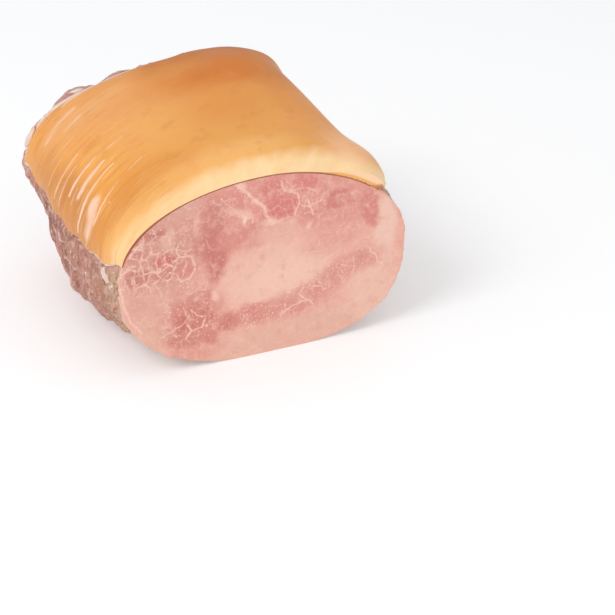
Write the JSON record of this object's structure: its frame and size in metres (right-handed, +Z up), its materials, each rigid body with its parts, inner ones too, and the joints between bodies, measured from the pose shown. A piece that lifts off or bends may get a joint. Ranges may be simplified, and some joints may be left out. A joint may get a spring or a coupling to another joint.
{
  "type": "glazed ham",
  "caption": "Boneless glazed ham cut straight across at the front, with a smooth golden rind over the top and craggy bare meat below and behind it, resting on its flattened underside.",
  "frame": {"origin": "middle of the part's box on the resting plane", "axes": "+Z up, shortest; -Y out of the flat cut face; X across the cut face, with the rind's thick front lobe at +X"},
  "size_m": [0.2286, 0.2405, 0.1632],
  "materials": {
    "cooked_ham": null
  },
  "bodies": {
    "root": {"ham": "cooked_ham"}
  },
  "joints": []
}
